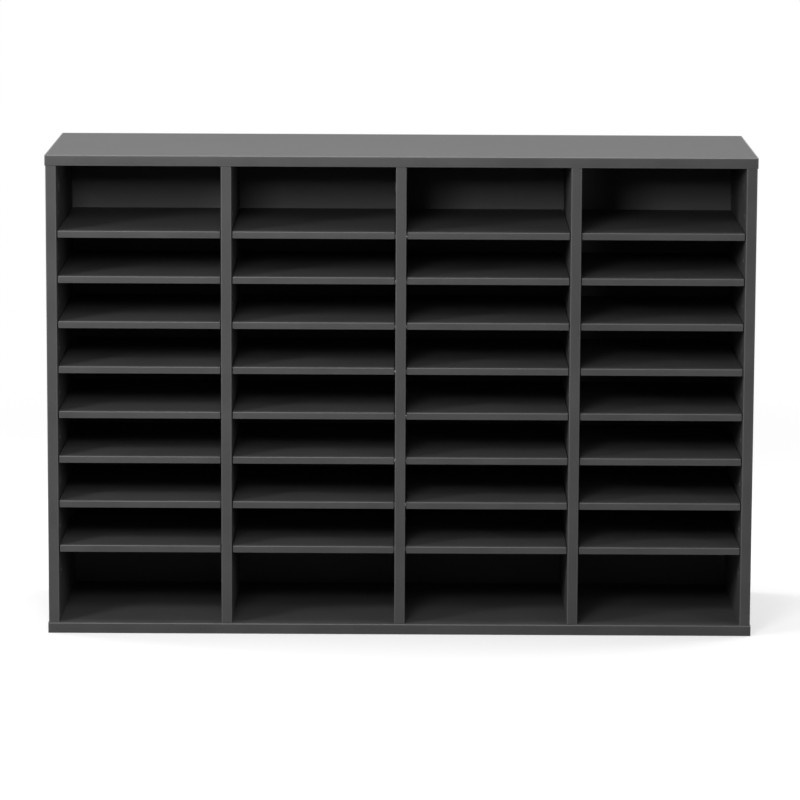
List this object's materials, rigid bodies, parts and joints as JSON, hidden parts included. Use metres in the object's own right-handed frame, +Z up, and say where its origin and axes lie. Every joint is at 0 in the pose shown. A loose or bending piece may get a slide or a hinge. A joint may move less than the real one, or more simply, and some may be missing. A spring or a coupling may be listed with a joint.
{
  "type": "pigeonhole mail sorter",
  "caption": "Free-standing open-fronted mail sorter: dark melamine carcass with upright dividers and loose shelves on pegs, forming a grid of pigeonholes for letters and paper.",
  "frame": {"origin": "on the floor plane, under the middle of the bottom panel", "axes": "+X to the right along the width, +Y from the open front to the back, +Z up"},
  "size_m": [0.997, 0.32, 0.681],
  "materials": {
    "melamine_board": "satin charcoal melamine on particleboard, front edges banded",
    "hardboard_back": "matt charcoal lacquered hardboard",
    "zinc_cam": "bare zinc die casting",
    "steel_screw": "yellow-passivated steel"
  },
  "bodies": {
    "carcass": {"bottom_panel": "melamine_board", "top_panel": "melamine_board", "left_side": "melamine_board", "divider_1": "melamine_board", "divider_2": "melamine_board", "divider_3": "melamine_board", "right_side": "melamine_board", "back_panel": "hardboard_back", "cam_fitting_left_side_front": "zinc_cam", "cam_fitting_left_side_rear": "zinc_cam", "cam_fitting_divider_1_front": "zinc_cam", "cam_fitting_divider_1_rear": "zinc_cam", "cam_fitting_divider_2_front": "zinc_cam", "cam_fitting_divider_2_rear": "zinc_cam", "cam_fitting_divider_3_front": "zinc_cam", "cam_fitting_divider_3_rear": "zinc_cam", "cam_fitting_right_side_front": "zinc_cam", "cam_fitting_right_side_rear": "zinc_cam", "base_screw_left_side_front": "steel_screw", "base_screw_left_side_rear": "steel_screw", "base_screw_divider_1_front": "steel_screw", "base_screw_divider_1_rear": "steel_screw", "base_screw_divider_2_front": "steel_screw", "base_screw_divider_2_rear": "steel_screw", "base_screw_divider_3_front": "steel_screw", "base_screw_divider_3_rear": "steel_screw", "base_screw_right_side_front": "steel_screw", "base_screw_right_side_rear": "steel_screw"},
    "shelf_bay1_level1": {"shelf_bay1_level1": "melamine_board"},
    "shelf_bay1_level2": {"shelf_bay1_level2": "melamine_board"},
    "shelf_bay1_level3": {"shelf_bay1_level3": "melamine_board"},
    "shelf_bay1_level4": {"shelf_bay1_level4": "melamine_board"},
    "shelf_bay1_level5": {"shelf_bay1_level5": "melamine_board"},
    "shelf_bay1_level6": {"shelf_bay1_level6": "melamine_board"},
    "shelf_bay1_level7": {"shelf_bay1_level7": "melamine_board"},
    "shelf_bay1_level8": {"shelf_bay1_level8": "melamine_board"},
    "shelf_bay2_level1": {"shelf_bay2_level1": "melamine_board"},
    "shelf_bay2_level2": {"shelf_bay2_level2": "melamine_board"},
    "shelf_bay2_level3": {"shelf_bay2_level3": "melamine_board"},
    "shelf_bay2_level4": {"shelf_bay2_level4": "melamine_board"},
    "shelf_bay2_level5": {"shelf_bay2_level5": "melamine_board"},
    "shelf_bay2_level6": {"shelf_bay2_level6": "melamine_board"},
    "shelf_bay2_level7": {"shelf_bay2_level7": "melamine_board"},
    "shelf_bay2_level8": {"shelf_bay2_level8": "melamine_board"},
    "shelf_bay3_level1": {"shelf_bay3_level1": "melamine_board"},
    "shelf_bay3_level2": {"shelf_bay3_level2": "melamine_board"},
    "shelf_bay3_level3": {"shelf_bay3_level3": "melamine_board"},
    "shelf_bay3_level4": {"shelf_bay3_level4": "melamine_board"},
    "shelf_bay3_level5": {"shelf_bay3_level5": "melamine_board"},
    "shelf_bay3_level6": {"shelf_bay3_level6": "melamine_board"},
    "shelf_bay3_level7": {"shelf_bay3_level7": "melamine_board"},
    "shelf_bay3_level8": {"shelf_bay3_level8": "melamine_board"},
    "shelf_bay4_level1": {"shelf_bay4_level1": "melamine_board"},
    "shelf_bay4_level2": {"shelf_bay4_level2": "melamine_board"},
    "shelf_bay4_level3": {"shelf_bay4_level3": "melamine_board"},
    "shelf_bay4_level4": {"shelf_bay4_level4": "melamine_board"},
    "shelf_bay4_level5": {"shelf_bay4_level5": "melamine_board"},
    "shelf_bay4_level6": {"shelf_bay4_level6": "melamine_board"},
    "shelf_bay4_level7": {"shelf_bay4_level7": "melamine_board"},
    "shelf_bay4_level8": {"shelf_bay4_level8": "melamine_board"}
  },
  "joints": [
    {"name": "shelf_bay1_level1_slide", "type": "slide", "parent": "carcass", "child": "shelf_bay1_level1", "axis": [0, -1, 0], "range_m": [0, 0.298]},
    {"name": "shelf_bay1_level2_slide", "type": "slide", "parent": "carcass", "child": "shelf_bay1_level2", "axis": [0, -1, 0], "range_m": [0, 0.298]},
    {"name": "shelf_bay1_level3_slide", "type": "slide", "parent": "carcass", "child": "shelf_bay1_level3", "axis": [0, -1, 0], "range_m": [0, 0.298]},
    {"name": "shelf_bay1_level4_slide", "type": "slide", "parent": "carcass", "child": "shelf_bay1_level4", "axis": [0, -1, 0], "range_m": [0, 0.298]},
    {"name": "shelf_bay1_level5_slide", "type": "slide", "parent": "carcass", "child": "shelf_bay1_level5", "axis": [0, -1, 0], "range_m": [0, 0.298]},
    {"name": "shelf_bay1_level6_slide", "type": "slide", "parent": "carcass", "child": "shelf_bay1_level6", "axis": [0, -1, 0], "range_m": [0, 0.298]},
    {"name": "shelf_bay1_level7_slide", "type": "slide", "parent": "carcass", "child": "shelf_bay1_level7", "axis": [0, -1, 0], "range_m": [0, 0.298]},
    {"name": "shelf_bay1_level8_slide", "type": "slide", "parent": "carcass", "child": "shelf_bay1_level8", "axis": [0, -1, 0], "range_m": [0, 0.298]},
    {"name": "shelf_bay2_level1_slide", "type": "slide", "parent": "carcass", "child": "shelf_bay2_level1", "axis": [0, -1, 0], "range_m": [0, 0.298]},
    {"name": "shelf_bay2_level2_slide", "type": "slide", "parent": "carcass", "child": "shelf_bay2_level2", "axis": [0, -1, 0], "range_m": [0, 0.298]},
    {"name": "shelf_bay2_level3_slide", "type": "slide", "parent": "carcass", "child": "shelf_bay2_level3", "axis": [0, -1, 0], "range_m": [0, 0.298]},
    {"name": "shelf_bay2_level4_slide", "type": "slide", "parent": "carcass", "child": "shelf_bay2_level4", "axis": [0, -1, 0], "range_m": [0, 0.298]},
    {"name": "shelf_bay2_level5_slide", "type": "slide", "parent": "carcass", "child": "shelf_bay2_level5", "axis": [0, -1, 0], "range_m": [0, 0.298]},
    {"name": "shelf_bay2_level6_slide", "type": "slide", "parent": "carcass", "child": "shelf_bay2_level6", "axis": [0, -1, 0], "range_m": [0, 0.298]},
    {"name": "shelf_bay2_level7_slide", "type": "slide", "parent": "carcass", "child": "shelf_bay2_level7", "axis": [0, -1, 0], "range_m": [0, 0.298]},
    {"name": "shelf_bay2_level8_slide", "type": "slide", "parent": "carcass", "child": "shelf_bay2_level8", "axis": [0, -1, 0], "range_m": [0, 0.298]},
    {"name": "shelf_bay3_level1_slide", "type": "slide", "parent": "carcass", "child": "shelf_bay3_level1", "axis": [0, -1, 0], "range_m": [0, 0.298]},
    {"name": "shelf_bay3_level2_slide", "type": "slide", "parent": "carcass", "child": "shelf_bay3_level2", "axis": [0, -1, 0], "range_m": [0, 0.298]},
    {"name": "shelf_bay3_level3_slide", "type": "slide", "parent": "carcass", "child": "shelf_bay3_level3", "axis": [0, -1, 0], "range_m": [0, 0.298]},
    {"name": "shelf_bay3_level4_slide", "type": "slide", "parent": "carcass", "child": "shelf_bay3_level4", "axis": [0, -1, 0], "range_m": [0, 0.298]},
    {"name": "shelf_bay3_level5_slide", "type": "slide", "parent": "carcass", "child": "shelf_bay3_level5", "axis": [0, -1, 0], "range_m": [0, 0.298]},
    {"name": "shelf_bay3_level6_slide", "type": "slide", "parent": "carcass", "child": "shelf_bay3_level6", "axis": [0, -1, 0], "range_m": [0, 0.298]},
    {"name": "shelf_bay3_level7_slide", "type": "slide", "parent": "carcass", "child": "shelf_bay3_level7", "axis": [0, -1, 0], "range_m": [0, 0.298]},
    {"name": "shelf_bay3_level8_slide", "type": "slide", "parent": "carcass", "child": "shelf_bay3_level8", "axis": [0, -1, 0], "range_m": [0, 0.298]},
    {"name": "shelf_bay4_level1_slide", "type": "slide", "parent": "carcass", "child": "shelf_bay4_level1", "axis": [0, -1, 0], "range_m": [0, 0.298]},
    {"name": "shelf_bay4_level2_slide", "type": "slide", "parent": "carcass", "child": "shelf_bay4_level2", "axis": [0, -1, 0], "range_m": [0, 0.298]},
    {"name": "shelf_bay4_level3_slide", "type": "slide", "parent": "carcass", "child": "shelf_bay4_level3", "axis": [0, -1, 0], "range_m": [0, 0.298]},
    {"name": "shelf_bay4_level4_slide", "type": "slide", "parent": "carcass", "child": "shelf_bay4_level4", "axis": [0, -1, 0], "range_m": [0, 0.298]},
    {"name": "shelf_bay4_level5_slide", "type": "slide", "parent": "carcass", "child": "shelf_bay4_level5", "axis": [0, -1, 0], "range_m": [0, 0.298]},
    {"name": "shelf_bay4_level6_slide", "type": "slide", "parent": "carcass", "child": "shelf_bay4_level6", "axis": [0, -1, 0], "range_m": [0, 0.298]},
    {"name": "shelf_bay4_level7_slide", "type": "slide", "parent": "carcass", "child": "shelf_bay4_level7", "axis": [0, -1, 0], "range_m": [0, 0.298]},
    {"name": "shelf_bay4_level8_slide", "type": "slide", "parent": "carcass", "child": "shelf_bay4_level8", "axis": [0, -1, 0], "range_m": [0, 0.298]}
  ]
}
